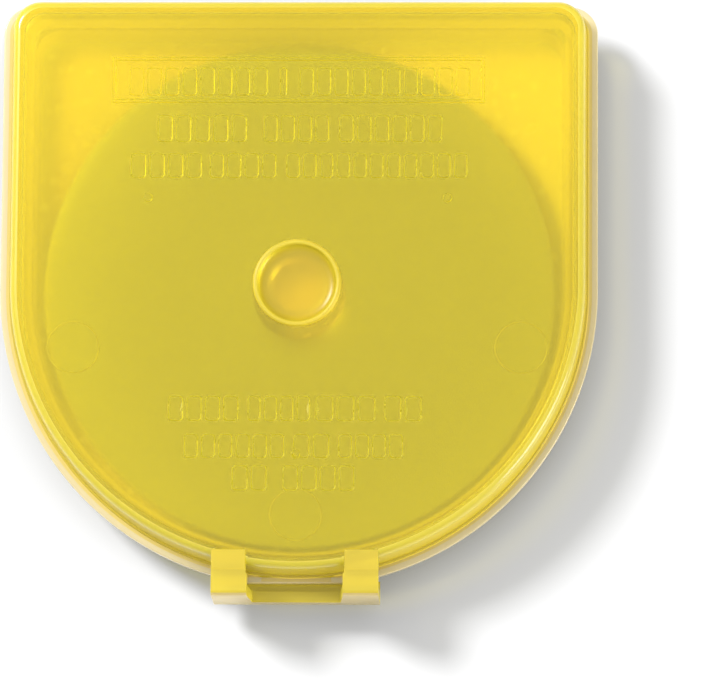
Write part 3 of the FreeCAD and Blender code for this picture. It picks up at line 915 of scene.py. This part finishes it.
def make_camera():
    """A long lens, high above the hasp side and a little to the right."""
    data = bpy.data.cameras.new("camera")
    data.lens = CAMERA_LENS
    data.sensor_width = CAMERA_SENSOR
    data.clip_start = 0.01
    data.clip_end = 20
    camera = bpy.data.objects.new("camera", data)
    elevation = math.radians(CAMERA_ELEVATION)
    aside = math.radians(CAMERA_ASIDE)
    level = math.cos(aside)
    away = Vector((math.sin(aside), -math.cos(elevation) * level, math.sin(elevation) * level))
    right = Vector((away.z, 0, -away.x)).normalized()
    facing = Matrix((right, away.cross(right), away)).transposed()
    camera.location = Vector(CAMERA_AIM) + away * CAMERA_DISTANCE
    camera.rotation_euler = (facing @ Matrix.Rotation(math.radians(CAMERA_ROLL), 3, "Z")).to_euler()
    scene.collection.objects.link(camera)
    scene.camera = camera


# ---------------------------------------------------------------- put together

# Each region of the case: haze, body, milk, lamps_in, lamps_out, then tint and coat where they differ.
SKINS = {
    "plate": plastic("yellow_polypropylene", 0.19, 0.11, 0.11, TINTED, TINTED),
    "inside": plastic("yellow_polypropylene_inside", 0.2, 0.11, 0.11, TINTED, TINTED),
    "wall": plastic("yellow_polypropylene_wall", 0.45, 0.45, 0.4, TINTED, TINTED, WARM),
    "soft": plastic("yellow_polypropylene_dimple", 0.3, 0.25, 0.15, TINTED, TINTED, WARM),
    "raised": plastic("yellow_polypropylene_relief", 0.28, 0.25, 0.13, TINTED, TINTED),
    "ring": plastic("yellow_polypropylene_ring", 0.4, 0.6, 0.1, TINTED, TINTED, WARM),
    "rim": plastic("yellow_polypropylene_rim", 0.34, 0.64, 0.2, GREY, TINTED, RIM, 1.0),
    "tray": plastic("yellow_polypropylene_tray", 0.26, 0.1, 0.1, TINTED, TINTED, CLEAR),
    "side": plastic("yellow_polypropylene_side", 0.45, 0.55, 0.25, GREY, TINTED, WARM, 0.5),
    "hasp": plastic("yellow_polypropylene_hasp", 0.34, 0.5, 0.14, GREY, TINTED, WARM),
    # The flange's high body and PEACH tint make it lighter: painted glow.
    "flange": plastic("yellow_polypropylene_flange_painted_glow", 0.4, 0.8, 0.1, GREY, TINTED, PEACH, 1.0),
    "under": plastic("yellow_polypropylene_under", 0.45, 0.45, 0.4, DIM, TINTED, WARM),
    # The hasp's front faces: FRONT's paler tint is a painted reflection.
    "front": plastic("yellow_polypropylene_front_painted_reflection", 0.4, 0.6, 0.15, GREY, TINTED, FRONT, 0.5),
    # The flange's edge and the hinge web: PALE is partly thin plastic, partly a painted reflection.
    "thin": plastic("yellow_polypropylene_thin_and_painted_reflection", 0.35, 0.8, 0.1, GREY, TINTED_THIN, PALE, 1.0),
}

# Limits on a face's normal: upright, facing down, sloping rather than flat, and facing the front.
UPRIGHT = 0.7
DOWNWARD = -0.3
SLOPING = 0.97
FRONTWARD = -0.5

# How far beyond a surface a face's middle may lie and still be counted as on it, in millimetres.
NEAR = 0.05
TOUCH = 0.02
ROOT_TOUCH = 0.002

# Distances in millimetres that tell regions apart: past a fillet, past a boss, at the outside, inside, underside.
FILLET_REACH = 0.5
WALL_REACH = 1
OUTSIDE_REACH = 0.1
INSIDE_RISE = 0.2
UNDERSIDE_RISE = 0.3


def dress(piece, choose):
    """Gives every face the skin that choose() names, by the face's middle in millimetres and its normal."""
    data = piece.data
    data.materials.clear()
    names = []
    for polygon in data.polygons:
        name = choose(polygon.center / MM, polygon.normal)
        if name not in names:
            names.append(name)
            data.materials.append(SKINS[name])
        polygon.material_index = names.index(name)


def lid_skin(centre, normal):
    """Names the skin of the lid's inside, dimple, ring, hasp roots, relief, rounded edge or outside."""
    outward = normal.x * centre.x + normal.y * centre.y
    reach = math.hypot(centre.x, centre.y)
    if abs(reach - BEAD_RADIUS) < BEAD_HALF and centre.z > LID_TOP:
        return "ring"
    if reach < BEAD_RADIUS and centre.z > LID_TOP - DIMPLE_DEPTH - TOUCH:
        return "soft"
    if reach < SPIGOT_RADIUS + FILLET_REACH and centre.z < CEILING - TOUCH:
        return "soft"
    across = GAP_HALF - TOUCH < abs(centre.x) < HASP_HALF + TOUCH
    in_front = reach > LID_RADIUS - OUTSIDE_REACH and centre.z > LID_TOP - ROOT_THICK - TOUCH
    if across and centre.y < ROOT_BACK + NEAR and (in_front or centre.z > LID_TOP + ROOT_TOUCH):
        return "hasp"
    if centre.z < CEILING + INSIDE_RISE and (outward < 0 or normal.z < DOWNWARD):
        return "wall" if abs(normal.z) < UPRIGHT and reach > SPIGOT_RADIUS + WALL_REACH else "inside"
    if centre.z > LID_TOP + HAIR and normal.z < SLOPING:
        return "raised"
    if LID_TOP - EDGE_ROUND - NEAR < centre.z < LID_TOP - HAIR and outward > 0:
        return "rim"
    return "plate" if centre.z > LID_TOP - EDGE_ROUND else "side"


def hasp_skin(centre, normal):
    """Names the skin of the hasp's front faces, made paler by a painted reflection of the white surroundings, or
    of its other faces.
    """
    return "front" if normal.y < FRONTWARD else "hasp"


def base_skin(centre, normal):
    """Names the skin of the tray's inside, its flange (partly painted glow), the flange's edge (paler partly as
    thin plastic, partly by a painted reflection of the white floor), or its outside.
    """
    reach = max(math.hypot(centre.x, min(centre.y, 0)), centre.y)
    if centre.z > FLOOR - NEAR and reach < CAVITY_RADIUS + NEAR:
        return "wall" if abs(normal.z) < UPRIGHT and reach > SEAT_OUTER + WALL_REACH else "tray"
    if centre.z > FLANGE_TOP - FLANGE_THICK - NEAR and reach > RIM_RADIUS + FILLET_REACH:
        depth = depth_inside(centre.x, centre.y, FLANGE_RADIUS, FLANGE_BACK, FLANGE_CORNER)
        if depth > FLANGE_RADIUS - LID_RADIUS - LIP_WIDTH:
            return "under" if normal.z < -UPRIGHT else "wall"
        return "thin" if depth < PALE_EDGE else "flange"
    return "tray" if centre.z < UNDERSIDE_RISE else "side"


lid = make_lid()
dress(lid, lid_skin)
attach(lid, "lid")
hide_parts("lid_shell", "lid_spigot")

base = make_base()
dress(base, base_skin)
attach(base, "base")
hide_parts("base_tray", "centre_post")

hasp = make_hasp()
dress(hasp, hasp_skin)
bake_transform(hasp)
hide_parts("hasp", "hasp_film_hinges")

hinge = make_hinge()
hinge.data.materials.append(SKINS["thin"])
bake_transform(hinge)
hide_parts("living_hinge")

blade_steel = steel("ground_steel")
for index in range(BLADE_COUNT):
    blade = make_blade(index)
    blade.data.materials.append(blade_steel)
    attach(blade, f"blade_{index + 1}")
    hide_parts(f"blade_{index + 1}")

make_floor()
lamps = {name: make_light(name, *values) for name, values in LAMPS.items()}
lamps["key"].visible_transmission = False
make_world(WORLD_RADIANCE)
make_camera()
scene.view_settings.view_transform = "Standard"
scene.cycles.caustics_refractive = False
scene.cycles.caustics_reflective = False
scene.cycles.sample_clamp_indirect = 1.5
scene.cycles.max_bounces = 24
scene.cycles.transmission_bounces = 20
scene.cycles.transparent_max_bounces = 24
